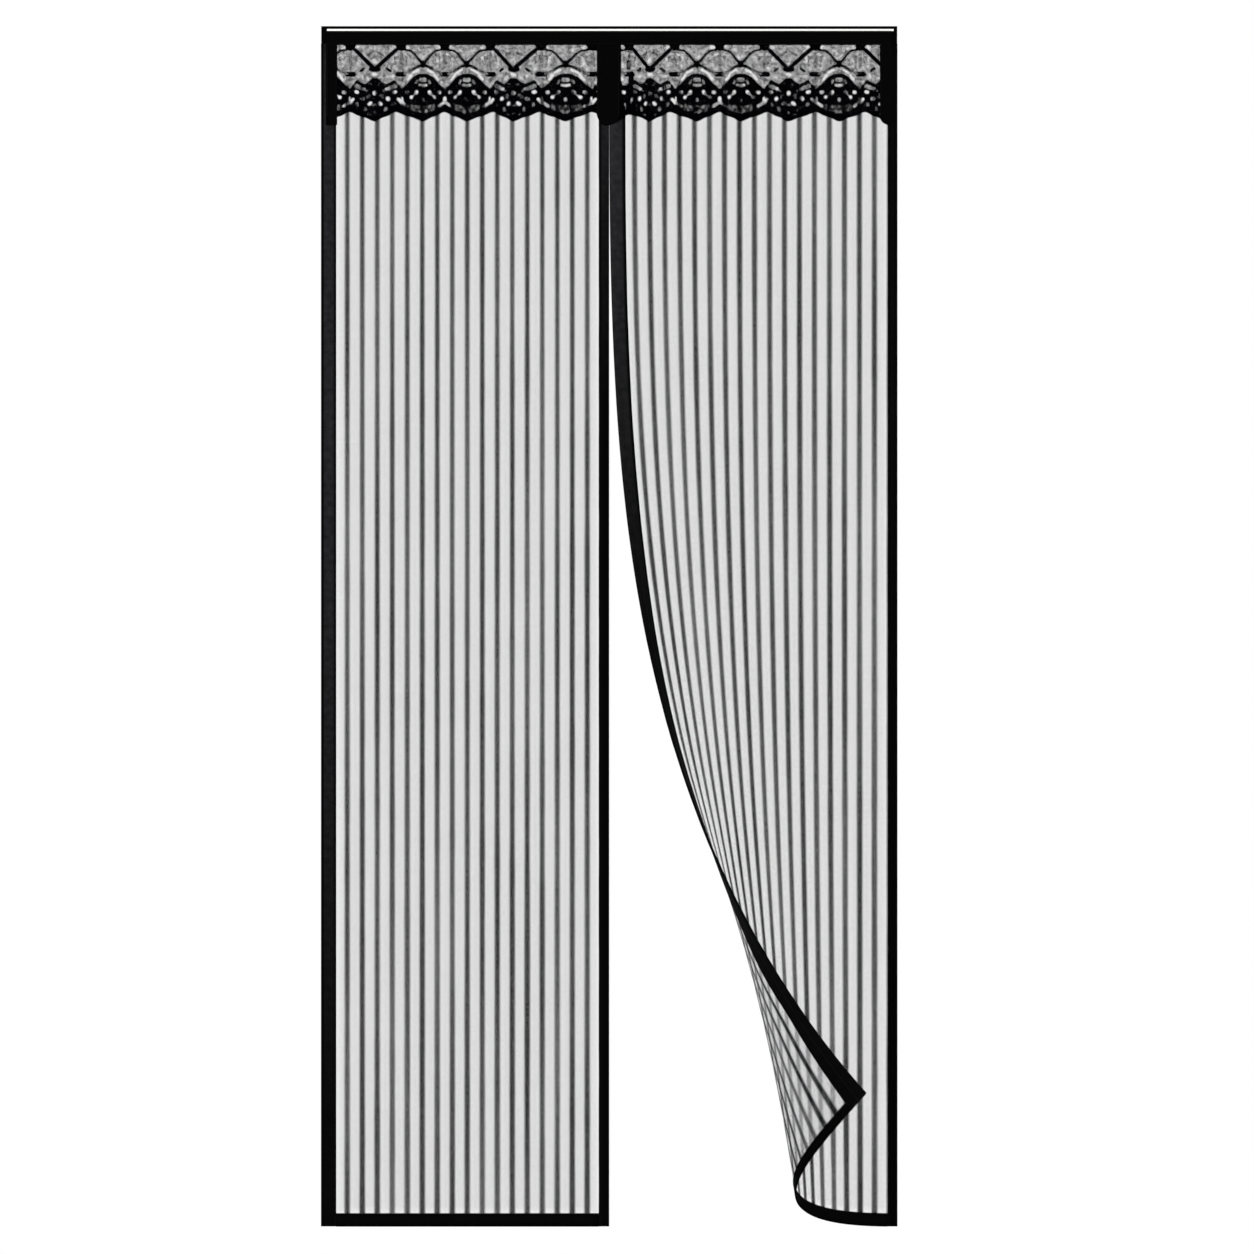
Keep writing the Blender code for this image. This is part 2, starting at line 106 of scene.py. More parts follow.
def on_left(u, n, v):
    """A point of the left half, which hangs flat."""
    return Vector((u - WIDTH / 2, -MESH_DEPTH - n, TOP_EDGE - v))


def on_top(x, n, v):
    """A point of what lies flat over both halves, with x from the middle."""
    return Vector((x, -MESH_DEPTH - n, TOP_EDGE - v))


def linear(code):
    """The linear colour of an sRGB hex code."""
    shares = [int(code[i : i + 2], 16) / 255 for i in (1, 3, 5)]
    return (*[c / 12.92 if c <= 0.04045 else ((c + 0.055) / 1.055) ** 2.4 for c in shares], 1.0)


def add(tree, kind, inputs=(), **settings):
    """Adds a node, sets its properties and fills its inputs with values or with other nodes' outputs."""
    node = tree.nodes.new("ShaderNode" + kind)
    for name, value in settings.items():
        setattr(node, name, value)
    for socket, value in dict(inputs).items():
        if isinstance(value, bpy.types.Node):
            value = value.outputs[0]
        if isinstance(value, bpy.types.NodeSocket):
            tree.links.new(value, node.inputs[socket])
        else:
            node.inputs[socket].default_value = value
    return node


def new_material(name, **sockets):
    """A material with its Principled shader, whose sockets are named with underscores for spaces."""
    made = bpy.data.materials.new(name)
    made.use_nodes = True
    shader = made.node_tree.nodes["Principled BSDF"]
    for socket, value in sockets.items():
        shader.inputs[socket.replace("_", " ")].default_value = value
    return made, made.node_tree, shader


def hung(name, bm, hang, finish, replaced, smooth=True):
    """Hangs flat cloth, drawn as across, outwards and down, and makes it a piece in place of CAD nodes."""
    for vert in bm.verts:
        vert.co = hang(*vert.co)
    mesh = bpy.data.meshes.new(name)
    bm.to_mesh(mesh)
    bm.free()
    if smooth:
        mesh.shade_smooth()
    mesh.materials.append(finish)
    piece = bpy.data.objects.new(name, mesh)
    bpy.context.scene.collection.objects.link(piece)
    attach(piece, "root")
    if replaced:
        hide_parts(*replaced)
    return piece


def cloth_grid(low, high, columns, rows):
    """A flat grid between two corners (across, down), facing the front, with its size kept in a UV map."""
    bm = bmesh.new()
    bmesh.ops.create_grid(bm, x_segments=columns, y_segments=rows, size=0.5)
    middle = Vector(((low[0] + high[0]) / 2, 0, (low[1] + high[1]) / 2))
    bmesh.ops.scale(bm, verts=bm.verts, vec=(high[0] - low[0], high[1] - low[1], 1))
    bmesh.ops.rotate(bm, verts=bm.verts, cent=(0, 0, 0), matrix=Matrix.Rotation(math.pi / 2, 3, "X"))
    bmesh.ops.translate(bm, verts=bm.verts, vec=middle)
    flat = bm.loops.layers.uv.new("flat")
    for face in bm.faces:
        for loop in face.loops:
            loop[flat].uv = (loop.vert.co.x, loop.vert.co.z)
    return bm


# A thread of the net is 0.22 mm thick and the cells are 1.5 mm wide, so from a step away the net is an even
# grey veil. The bands are knitted with the same threads packed until they nearly close. A share is how much
# of a cell its thread covers each way, and the lengths here are in mm.
THREAD_PITCH = 1.5
THREAD_SHARE = 0.155
SEAM_SHARE, SEAM_REACH = 0.09, 12
TURNED_SHARE = 0.29
BAND_SHARE = 0.80
LEFT_BAND_HALF, RIGHT_BAND_HALF = 3.6, 4.0
BAND_EDGE = 2.8
BAND_SPREAD, SPREAD_START = 0.9, 200
LACE_HIDES, LACE_SHOWS = 92, 116
TURN_START, TURN_OVER = 88, 24


def knitted_net(name, first_stripe, band_half, low, high):
    """Black net drawn thread by thread on its flat size, between the side seam and the sleeve's seam."""
    net, tree, shader = new_material(name, Roughness=0.6, Specular_IOR_Level=0.1)
    flat = add(tree, "UVMap", uv_map="flat")
    place = add(tree, "VectorMath", {0: flat, "Scale": 1000}, operation="SCALE")
    place = add(tree, "SeparateXYZ", {0: place})
    across, down = place.outputs["X"], place.outputs["Y"]
    pulled = add(tree, "TexNoise", {"Vector": flat, "Scale": 9.0, "Detail": 2.0})
    from_band = add(tree, "Math", {0: across, 1: 1000 * first_stripe}, operation="SUBTRACT")
    half_pitch = 500 * STRIPE_PITCH
    away = add(tree, "Math", {0: from_band, 1: half_pitch}, operation="PINGPONG")
    uneven = add(tree, "MapRange", {"Value": pulled, "To Min": -0.8, "To Max": 0.8})
    away = add(tree, "Math", {0: away, 1: uneven}, operation="ADD")
    # The bands get a little wider towards the foot.
    spread = {"Value": down, "From Min": SPREAD_START, "From Max": 1000 * HEIGHT, "To Max": BAND_SPREAD}
    wider = add(tree, "MapRange", spread)
    away = add(tree, "Math", {0: away, 1: wider}, operation="SUBTRACT")
    limits = {"From Min": band_half + BAND_EDGE, "From Max": band_half - BAND_EDGE}
    band = add(tree, "MapRange", {"Value": away, **limits}, interpolation_type="SMOOTHSTEP")
    # The bands aren't all knitted equally dense.
    uneven = add(tree, "VectorMath", {0: flat, 1: (19, 1.5, 1)}, operation="MULTIPLY")
    uneven = add(tree, "TexNoise", {"Vector": uneven, "Scale": 1.0, "Detail": 0.0})
    dense = {"Value": uneven, "From Min": 0.3, "From Max": 0.7, "To Min": 0.82, "To Max": 1.06}
    uneven = add(tree, "MapRange", dense)
    band = add(tree, "Math", {0: band, 1: uneven}, operation="MULTIPLY")
    # The net is plain behind the lace's light head, and the bands begin behind its dense lower half.
    shown = add(tree, "MapRange", {"Value": down, "From Min": LACE_HIDES, "From Max": LACE_SHOWS})
    band = add(tree, "Math", {0: band, 1: shown}, operation="MULTIPLY")
    # Beside its seams the net is drawn thin, so it lets more light through there.
    from_side = add(tree, "Math", {0: across, 1: 1000 * low}, operation="SUBTRACT")
    from_sleeve = add(tree, "Math", {0: 1000 * high, 1: across}, operation="SUBTRACT")
    from_foot = add(tree, "Math", {0: 1000 * (HEIGHT - BOTTOM_HEM), 1: down}, operation="SUBTRACT")
    nearest = add(tree, "Math", {0: from_side, 1: from_sleeve}, operation="MINIMUM")
    nearest = add(tree, "Math", {0: nearest, 1: from_foot}, operation="MINIMUM")
    thinner = {"Value": nearest, "From Max": SEAM_REACH, "To Min": SEAM_SHARE, "To Max": THREAD_SHARE}
    ground = add(tree, "MapRange", thinner)
    # Where the half is turned over, its threads are painted light grey, a painted highlight, and they veil
    # what lies behind them.
    turned = add(tree, "Attribute", attribute_name="turned").outputs["Fac"]
    ground = add(tree, "MapRange", {"Value": turned, "To Min": ground, "To Max": TURNED_SHARE})
    share = add(tree, "MapRange", {"Value": band, "To Min": ground, "To Max": BAND_SHARE})
    plain = add(tree, "Math", {0: 1.0, 1: band}, operation="SUBTRACT")
    lit = add(tree, "Math", {0: turned, 1: plain}, operation="MULTIPLY")
    thread = add(tree, "Mix", {0: lit, 6: linear("#101011"), 7: linear("#bdbdbf")}, data_type="RGBA")
    tree.links.new(thread.outputs[2], shader.inputs["Base Color"])
    streaks = add(tree, "VectorMath", {0: flat, 1: (260, 3, 1)}, operation="MULTIPLY")
    streaks = add(tree, "TexNoise", {"Vector": streaks, "Scale": 1.0, "Detail": 1.0})
    streaks = add(tree, "MapRange", {"Value": streaks, "To Min": 0.86, "To Max": 1.14})
    share = add(tree, "Math", {0: share, 1: streaks}, operation="MULTIPLY")
    width = add(tree, "Math", {0: share, 1: THREAD_PITCH / 2}, operation="MULTIPLY")
    wale = add(tree, "Math", {0: across, 1: THREAD_PITCH / 2}, operation="PINGPONG")
    course = add(tree, "Math", {0: down, 1: THREAD_PITCH / 2}, operation="PINGPONG")
    wale = add(tree, "Math", {0: wale, 1: width}, operation="LESS_THAN")
    course = add(tree, "Math", {0: course, 1: width}, operation="LESS_THAN")
    threads = add(tree, "Math", {0: wale, 1: course}, operation="MAXIMUM")
    tree.links.new(threads.outputs[0], shader.inputs["Alpha"])
    return net


def net_panel(name, hang, end, first_stripe, band_half, rows, seams, replaced):
    """One half's net, whose bands stand a little out from it. It keeps how far each point is turned over."""
    columns = round((end - NET_INSET) / STRIPE_PITCH * COLUMNS_PER_STRIPE)
    bm = cloth_grid((NET_INSET, NET_TOP), (end, NET_BOTTOM), columns, rows)
    turned = bm.verts.layers.float.new("turned")
    for vert in bm.verts:
        if hang is on_right:
            share = max(0.0, (vert.co.z - CURL_START) / (HEIGHT - CURL_START))
            angle = (CURL_TURN * share + CURL_GROWTH * share**2) * vert.co.x / HALF_WIDTH
            vert[turned] = smooth_step((math.degrees(angle) - TURN_START) / TURN_OVER)
        away = (vert.co.x - first_stripe + STRIPE_PITCH / 2) % STRIPE_PITCH - STRIPE_PITCH / 2
        vert.co.y = STRIPE_RISE * smooth_step(1.5 - abs(away) / STRIPE_HALF)
    net = knitted_net(name + "_polyester", first_stripe, band_half, *seams)
    return hung(name, bm, hang, net, replaced)


seams = (LEFT_SIDE_WIDTH, HALF_WIDTH - LEFT_SLEEVE_WIDTH)
left_net = net_panel(
    "left_net", on_left, LEFT_NET_END, LEFT_FIRST_STRIPE, LEFT_BAND_HALF, 60, seams,
    ["left_mesh_panel"],
)
seams = (RIGHT_SIDE_WIDTH, HALF_WIDTH - RIGHT_SLEEVE_WIDTH)
right_net = net_panel(
    "right_net", on_right, RIGHT_NET_END, RIGHT_FIRST_STRIPE, RIGHT_BAND_HALF, 160, seams,
    ["right_mesh_panel"],
)

# The tapes
# Black polyester tape, woven with a fine rib across and a closed selvedge, folded over each raw edge of the
# net. Its body is painted greyer than its folded and woven edges, a painted sheen that fades from the head
# towards the foot.

TAPE_WALL = 0.0007
FOLD_RADIUS = 0.00125
FOLD_MIDDLE = 0.00025
TOP_HEM = 0.0303
HALF_TOP = TOP_HEM
HEAD_HALF = 0.504
RIB_PITCH = 2.4
SELVEDGE = 0.0030


def wave_scale(apart):
    """The scale at which the bands of a wave texture lie this many mm apart."""
    return 1000 / apart * math.tau / 20


def woven_tape(name, edge_shade, body_shade, head, foot, foot_share):
    """Black woven tape, painted greyer inside than at its edges. From head to foot this painted sheen falls
    to foot_share.
    """
    tape, tree, shader = new_material(name, Roughness=0.75, Specular_IOR_Level=0.015)
    flat = add(tree, "UVMap", uv_map="flat")
    edge = add(tree, "Attribute", attribute_name="selvedge")
    place = add(tree, "SeparateXYZ", {0: add(tree, "TexCoord").outputs["Object"]})
    # The painted sheen fades from head to foot, by the tape's height.
    sheen_fade = {"Value": place.outputs["Z"], "From Min": -foot, "From Max": -head, "To Min": foot_share}
    sheen_fade = add(tree, "MapRange", sheen_fade)
    blotch = add(tree, "TexNoise", {"Vector": flat, "Scale": 90.0, "Detail": 3.0})
    body = {"Value": blotch, "From Min": 0.3, "From Max": 0.7, "To Min": 0.45, "To Max": 1.0}
    body = add(tree, "MapRange", body)
    inner = add(tree, "MapRange", {"Value": edge.outputs["Fac"], "To Min": 1.0, "To Max": 0.0})
    shown = add(tree, "Math", {0: body, 1: inner}, operation="MULTIPLY")
    shown = add(tree, "Math", {0: shown, 1: sheen_fade}, operation="MULTIPLY")
    shade = add(tree, "Mix", {0: shown, 6: linear(edge_shade), 7: linear(body_shade)}, data_type="RGBA")
    tree.links.new(shade.outputs[2], shader.inputs["Base Color"])
    # The real ribs are 0.6 mm apart. They are drawn at 2.4 mm, or they wouldn't show at all.
    ribs = add(tree, "VectorMath", {0: flat, "Scale": wave_scale(RIB_PITCH)}, operation="SCALE")
    ribs = add(tree, "TexWave", {"Vector": ribs, "Scale": 1.0, "Distortion": 0.3}, bands_direction="Y")
    relief = add(tree, "Bump", {"Height": ribs, "Strength": 0.35, "Distance": 0.0004})
    tree.links.new(relief.outputs[0], shader.inputs["Normal"])
    return tape


# Each piece has its own painted sheen: how grey its body is drawn, and the heights over which that fades.
left_cloth = woven_tape("left_side_polyester_tape", "#020202", "#232325", 0.9, 1.9, 0.08)
right_cloth = woven_tape("right_side_polyester_tape", "#010101", "#070708", 0.7, 1.2, 0.1)
left_sleeve_cloth = woven_tape("left_sleeve_polyester_tape", "#020202", "#1e1e20", 0.12, 0.65, 0.03)
right_sleeve_cloth = woven_tape("right_sleeve_polyester_tape", "#020202", "#29292b", 0.2, 1.05, 0.08)
foot_cloth = woven_tape("foot_polyester_tape", "#010101", "#050505", 0.0, 1.0, 1.0)
head_cloth = woven_tape("head_polyester_tape", "#010101", "#030303", 0.0, 1.0, 1.0)


def fold_over(s, half):
    """The place across and outwards of a strip's point, s from its fold, where the strip is folded in two."""
    arc = half * math.pi / 2
    if abs(s) < arc:
        angle = s / half
        return half * (1 - math.cos(angle)), FOLD_MIDDLE + half * math.sin(angle)
    return half + abs(s) - arc, FOLD_MIDDLE + math.copysign(half, s)


def solid_cloth(piece, wall=TAPE_WALL):
    """Gives a tape its thickness, half of it to each side."""
    modifier = piece.modifiers.new("thickness", "SOLIDIFY")
    modifier.thickness = wall
    modifier.offset = 0
    modifier.use_even_offset = True
    return piece


def mark_selvedge(bm, across, low, high):
    """Keeps how near each point lies to the tape's own edges, from 0 inside to 1 at an edge."""
    layer = bm.verts.layers.float.new("selvedge")
    for vert in bm.verts:
        near = min(across(vert) - low, high - across(vert))
        vert[layer] = 1 - smooth_step(near / SELVEDGE - 1)


def bound_edge(name, width, start, end, rows, place, hang, cloth, replaced):
    """A tape folded over an edge. place turns its width, thickness and length to the cloth's directions."""
    reach = width - FOLD_RADIUS + FOLD_RADIUS * math.pi / 2
    bm = cloth_grid((-reach, start), (reach, end), 34, rows)
    for vert in bm.verts:
        across, n = fold_over(vert.co.x, FOLD_RADIUS)
        vert.co = (across, n, vert.co.z)
    mark_selvedge(bm, lambda vert: vert.co.x, 0, width)
    for vert in bm.verts:
        vert.co = place(*vert.co)
    return solid_cloth(hung(name, bm, hang, cloth, replaced))


def down_side(across, n, along):
    return across, n, along


def along_foot(across, n, along):
    return along, n, HEIGHT - across


def along_head(across, n, along):
    return along, n, across


left_side = bound_edge(
    "left_side_tape", LEFT_SIDE_WIDTH, HALF_TOP, HEIGHT, 40,
    down_side, on_left, left_cloth, ["left_side_binding"],
)
right_side = bound_edge(
    "right_side_tape", RIGHT_SIDE_WIDTH, HALF_TOP, HEIGHT, 140,
    down_side, on_right, right_cloth, ["right_side_binding"],
)
left_foot = bound_edge(
    "left_foot_tape", BOTTOM_HEM, LEFT_SIDE_WIDTH, HALF_WIDTH - LEFT_SLEEVE_WIDTH, 24,
    along_foot, on_left, foot_cloth, ["left_bottom_binding"],
)
right_foot = bound_edge(
    "right_foot_tape", BOTTOM_HEM, RIGHT_SIDE_WIDTH, HALF_WIDTH - RIGHT_SLEEVE_WIDTH, 90,
    along_foot, on_right, foot_cloth, ["right_bottom_binding"],
)
bound_edge(
    "head_tape", TOP_HEM, -HEAD_HALF, HEAD_HALF, 60,
    along_head, on_top, head_cloth, ["top_binding"],
)

# The magnet sleeves
# The inner edge of each half is a folded tape too, sewn down beside its fold so that it holds a channel.
# Eleven flexible magnet bars lie in it, and the tape stands a little prouder over each of them.

MAGNET_COUNT, MAGNET_LENGTH = 11, 0.060
MAGNET_FIRST, MAGNET_LAST = 0.0753, 1.995
MAGNET_RISE, RISE_LENGTH = 0.0003, 0.008
CHANNEL_HALF = 0.00205
CHANNEL_SEAM = 0.0112
FLAT_START, FLAT_OVER = 0.0025, 0.0030
SLEEVE_REACH = 0.00106
TOP_SPARE, SPARE_FULL, SPARE_END = 0.0042, 0.85, 1.35
LACE_DRAWS, DRAWS_UNTIL, DRAWS_EASE = 0.0075, 0.105, 0.045


def over_magnet(v):
    """How far a point down the sleeve lies over a magnet, from 0 between two to 1 over one."""
    step = (MAGNET_LAST - MAGNET_FIRST) / (MAGNET_COUNT - 1)
    along = (v - MAGNET_FIRST + (step - MAGNET_LENGTH) / 2) % step - step / 2
    return smooth_step(((MAGNET_LENGTH + RISE_LENGTH) / 2 - abs(along)) / RISE_LENGTH)


def spare_width(across, v):
    """How much wider the right sleeve is above where the half turns over. The lace draws it in at its top."""
    share = 1 - smooth_step((v - SPARE_FULL) / (SPARE_END - SPARE_FULL))
    behind_lace = 1 - smooth_step((v - DRAWS_UNTIL) / DRAWS_EASE)
    spare = TOP_SPARE * share - LACE_DRAWS * behind_lace
    return spare * smooth_step((across - CHANNEL_SEAM) / (RIGHT_SLEEVE_WIDTH - CHANNEL_SEAM))


def magnet_sleeve(name, width, spare, hang, cloth, replaced):
    """A tape folded round its channel and flat past the seam, with a selvedge at its sewn edge. spare is 1
    where it takes the spare width, and 0 where it doesn't."""
    width += SLEEVE_REACH
    reach = width - CHANNEL_HALF + CHANNEL_HALF * math.pi / 2
    bm = cloth_grid((-reach, HALF_TOP), (reach, HEIGHT), 40, 230)
    for vert in bm.verts:
        full = CHANNEL_HALF - MAGNET_RISE + MAGNET_RISE * over_magnet(vert.co.z)
        across, n = fold_over(vert.co.x, full)
        flatter = smooth_step((across - CHANNEL_SEAM + FLAT_START) / FLAT_OVER)
        side = n - FOLD_MIDDLE
        vert.co = (across, FOLD_MIDDLE + side * (1 - flatter * (1 - FOLD_RADIUS / full)), vert.co.z)
    mark_selvedge(bm, lambda vert: vert.co.x, -1, width)
    for vert in bm.verts:
        vert.co.x = HALF_WIDTH + SLEEVE_REACH - vert.co.x - spare * spare_width(vert.co.x, vert.co.z)
    bmesh.ops.reverse_faces(bm, faces=bm.faces)
    return solid_cloth(hung(name, bm, hang, cloth, replaced))


left_sleeve = magnet_sleeve(
    "left_sleeve_tape", LEFT_SLEEVE_WIDTH, 0, on_left, left_sleeve_cloth, ["left_magnet_sleeve"]
)
right_sleeve = magnet_sleeve(
    "right_sleeve_tape", RIGHT_SLEEVE_WIDTH, 1, on_right, right_sleeve_cloth, ["right_magnet_sleeve"]
)

# The magnets
# Flat bars of ferrite powder bound in rubber, cut from an extruded strip, so their faces are dull dark grey
# with faint lines along them. They are the model's own solids, which lie inside the sleeves.

magnet_rubber, tree, shader = new_material("rubber_bonded_ferrite", Roughness=0.5, Specular_IOR_Level=0.4)
place = add(tree, "TexCoord")
lines = add(tree, "VectorMath", {0: place.outputs["Object"], 1: (900, 900, 20)}, operation="MULTIPLY")
grain = add(tree, "TexNoise", {"Vector": lines, "Scale": 1.0, "Detail": 4.0})
shade = add(tree, "Mix", {0: grain, 6: linear("#2b2a2a"), 7: linear("#3b3938")}, data_type="RGBA")
tree.links.new(shade.outputs[2], shader.inputs["Base Color"])
relief = add(tree, "Bump", {"Height": grain, "Strength": 0.2, "Distance": 0.0002})
tree.links.new(relief.outputs[0], shader.inputs["Normal"])
for name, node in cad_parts.items():
    if "_magnet_0" in name or "_magnet_1" in name:
        node.data.materials.clear()
        node.data.materials.append(magnet_rubber)

# The header band and the piping
# A black tape is sewn across the head over the lace's heading. Above it runs a narrow white polyester piping,
# a braided cord that stops short of both ends and shows as one bright line under the top edge.

HEADER_INSET = 0.0085
HEADER_TOP, HEADER_BOTTOM = 0.0083, 0.0325
HEADER_MIDDLE = 0.0042
PIPING_TOP, PIPING_BOTTOM = 0.0044, 0.0080
PIPING_START, PIPING_END = -0.4940, 0.4978
PIPING_BACK, PIPING_FRONT = 0.00215, 0.00335
PIPING_ROUND = 0.0005
STRAND = 1.6


def laid_tape(name, low, high, columns, rows, foot, replaced):
    """A tape laid flat on the front between two corners, cut along its foot as foot(x) says."""
    bm = cloth_grid(low, high, columns, rows)
    for vert in bm.verts:
        share = (vert.co.z - low[1]) / (high[1] - low[1])
        vert.co.z = low[1] + share * (foot(vert.co.x) - low[1])
        vert.co.y = HEADER_MIDDLE
    if high[1] - low[1] < high[0] - low[0]:
        mark_selvedge(bm, lambda vert: vert.co.z, low[1], high[1])
    else:
        mark_selvedge(bm, lambda vert: vert.co.x, low[0], high[0])
    return solid_cloth(hung(name, bm, on_top, head_cloth, replaced))


half_head = WIDTH / 2 - HEADER_INSET
low, high = (-half_head, HEADER_TOP), (half_head, HEADER_BOTTOM)
laid_tape("header_tape", low, high, 120, 14, lambda x: HEADER_BOTTOM, ["header_band"])

piping_yarn, tree, shader = new_material("braided_polyester_piping", Roughness=0.6, Sheen_Weight=0.2)
place = add(tree, "TexCoord")
strands = add(tree, "VectorMath", {0: place.outputs["Object"], 1: (1, 0, 1)}, operation="MULTIPLY")
# Each strand of the braid is 0.5 mm wide. The strands are drawn at 1.6 mm, or they wouldn't show.
strands = add(tree, "TexWave", {"Vector": strands, "Scale": wave_scale(STRAND)}, bands_direction="DIAGONAL")
shade = add(tree, "Mix", {0: strands, 6: linear("#e4e4e0"), 7: linear("#fbfbf8")}, data_type="RGBA")
tree.links.new(shade.outputs[2], shader.inputs["Base Color"])
relief = add(tree, "Bump", {"Height": strands, "Strength": 0.3, "Distance": 0.0003})
tree.links.new(relief.outputs[0], shader.inputs["Normal"])
bm = bmesh.new()
bmesh.ops.create_cube(bm, size=1)
low = Vector((PIPING_START, PIPING_BACK, PIPING_TOP))
high = Vector((PIPING_END, PIPING_FRONT, PIPING_BOTTOM))
bmesh.ops.scale(bm, verts=bm.verts, vec=high - low)
bmesh.ops.translate(bm, verts=bm.verts, vec=(low + high) / 2)
bmesh.ops.bevel(
    bm, geom=bm.edges[:], offset=PIPING_ROUND, segments=3, profile=0.5, affect="EDGES", material=-1
)
bmesh.ops.reverse_faces(bm, faces=bm.faces)
hung("piping_cord", bm, on_top, piping_yarn, ["white_piping"])

# The lace valances
# Black polyester lace, knitted in one piece: a light net ground at the head, leaves and small flowers in
# dense cloth below it, and a dense scalloped edge. Two kinds of repeat take turns, one with a V above a
# flower and one with an arch. It is stretched a little as it is sewn on, so a repeat is 76 to 90 mm wide.

# The pattern is measured in mm. How far out the lace lies and where its rims are is in metres.
LACE_HEAD, LACE_FOOT = 10.0, 165
LACE_ROWS = 142
LACE_LAYER = 0.0031
LACE_RELIEF = 0.0003
LACE_STEP = 1.1
REPEAT_HALF = 41.5
MARK_EDGE = 1.1
OPEN_SHARE, GROUND_SHARE, DENSE_SHARE = 0.03, 0.34, 0.96
CUT_BELOW = -0.7
RIM_TOP, RIM_FOOT, RIM_SIDE = 0.032, 0.148, 0.002
EDGE_MEAN, SCALLOP, SCALLOP_POINT = 158.2, 6.8, 1.2
BORDER, BORDER_EDGE, DENSE_EDGE = 7.5, 2, 1.5

# Each mark is a stroke from one point to another (away from the repeat's middle, down from the top), with
# half its width and how dense it is, from -1 for an opening, through 0 for the ground, to 1 for dense cloth.
BOTH_KINDS = [
    (41.5, 28, 41.5, 33, 9.6, 1), (36, 39, 33, 41, 2.2, 1), (41.5, 83.7, 36, 83.7, 4.1, 1),
    (30, 37, 27, 37, 3.4, -0.7), (41.5, 47, 41.5, 70, 3.2, 0.2), (34, 50, 29, 60, 2.4, 0.3),
    (27, 55, 29, 70, 2.4, -0.45), (37, 48, 33, 50, 2.2, -0.5), (36, 72, 32, 75, 2.0, -0.3),
    (41.5, 92, 39, 93, 2.4, 0.3), (37, 100, 36, 97, 2.0, -0.4),
]
VALLEY = [
    (33, 41, 2, 73, 3.2, 1), (0, 75.5, 5, 74.5, 4.4, 1), (24, 78, 19, 74, 2.0, 0.95),
    (0, 60, 0, 62, 4.0, -0.7), (12, 50, 6, 46, 2.2, 0.4), (27, 87, 21, 87.5, 3.0, -0.6),
    (0, 83.5, 2.5, 84, 2.8, -0.8), (11, 90, 13, 92, 2.4, -0.4), (31, 104.5, 24, 107.5, 3.8, 0.12),
    (20, 109.5, 18.5, 109.5, 2.8, -0.6), (31.5, 114.5, 30, 115, 3.2, -0.95), (8, 100, 6, 102, 1.8, 0.6),
    (0, 116.5, 0, 117.5, 3.6, -1), (20.5, 126, 21, 127, 3.5, -0.9), (10, 120, 12, 124, 2.8, 0.55),
    (7, 134, 9, 136, 3.0, -1), (0, 137, 3, 137.5, 2.0, 0.3), (30, 135, 29, 138, 2.6, 0.3),
    (17, 143, 16, 146, 2.8, 0.3), (37, 127.3, 42.5, 134.5, 2.8, -0.85), (14, 113, 15, 112, 2.0, 0.5),
    (0, 150, 0, 152, 2.2, 0.6), (9, 155, 12, 154, 1.6, 0.55),
]
ARCH = [
    (33, 41, 24, 42.5, 1.7, 0.95), (24, 42.5, 16, 48.5, 1.8, 0.9), (16, 48.5, 9, 57, 1.9, 0.9),
    (9, 57, 3, 63, 2.2, 0.95), (0, 64.5, 0, 67.5, 5.0, 1), (3, 68, 11, 70.5, 2.2, 1),
    (11, 70.5, 21, 76.5, 2.3, 0.8), (21, 76.5, 35, 83, 2.3, 0.4), (9, 76, 19, 81, 2.4, -0.9),
    (22, 85, 28, 93, 2.8, -0.85), (5, 50, 2, 55, 2.6, -0.5), (17, 40, 8, 42, 2.6, -0.4),
    (0, 93.5, 3.6, 93.5, 3.8, 0), (11, 95, 13, 99, 2.3, 0.2), (0, 103.5, 6, 102.5, 2.4, -0.6),
    (12, 114.5, 13.5, 116.5, 3.2, -1), (14, 117, 22, 123.5, 1.4, -0.1), (22.5, 123.7, 23, 124, 3.2, -1),
    (29.5, 115, 31.5, 115.5, 3.2, -0.7), (0, 127, 0, 129, 2.8, -0.1), (41.5, 126, 41.5, 131, 3.5, -0.9),
    (41.5, 132, 30, 139.5, 2.6, -0.6), (0, 146, 21, 141.5, 6.0, 0.7), (21, 140, 17, 146, 2.6, 0.4),
    (3, 150, 6, 148, 2.6, 0.25), (0, 139, 0, 140, 2.0, 0.45), (11, 141, 13, 140, 2.6, 0.3),
    (0, 85.5, 8, 86.3, 2.5, 1), (8, 86.3, 17, 91, 2.9, 1), (17, 91, 24, 97.5, 2.9, 1),
]
# Where the dense lower part begins, as places away from the repeat's middle and down from the top.
VALLEY_DENSE = ((0, 5, 11, 17, 23, 30, 36, 41.5), (90, 91, 97, 101, 98, 93.5, 99, 109))
ARCH_DENSE = ((0, 9, 17, 24, 32, 41.5), (83, 83.5, 88, 94.5, 102, 109.5))
# The repeats' middles, the bounds between them and the cusps of the edge, in mm from the screen's middle.
LEFT_MIDDLES = (-494, -410.4, -325.9, -249.8, -168.3, -76.8, 15)
LEFT_BOUNDS = (-536, -453, -363.5, -287.8, -207.5, -118.5, -29, 60)
LEFT_CUSPS = (-536, -454.6, -373.7, -288.6, -203, -122, -31, 60)
RIGHT_MIDDLES = (-6, 70.4, 153.6, 229.5, 313.3, 402.4, 484)
RIGHT_BOUNDS = (-48, 36, 115, 193.4, 272, 361, 439, 528)
RIGHT_CUSPS = (-48, 32, 106, 192.6, 277, 361.2, 448, 528)
# The kinds of the repeats from left to right, A with an arch and V with a V, alike in both valances.
KINDS = "AVAAVAV"
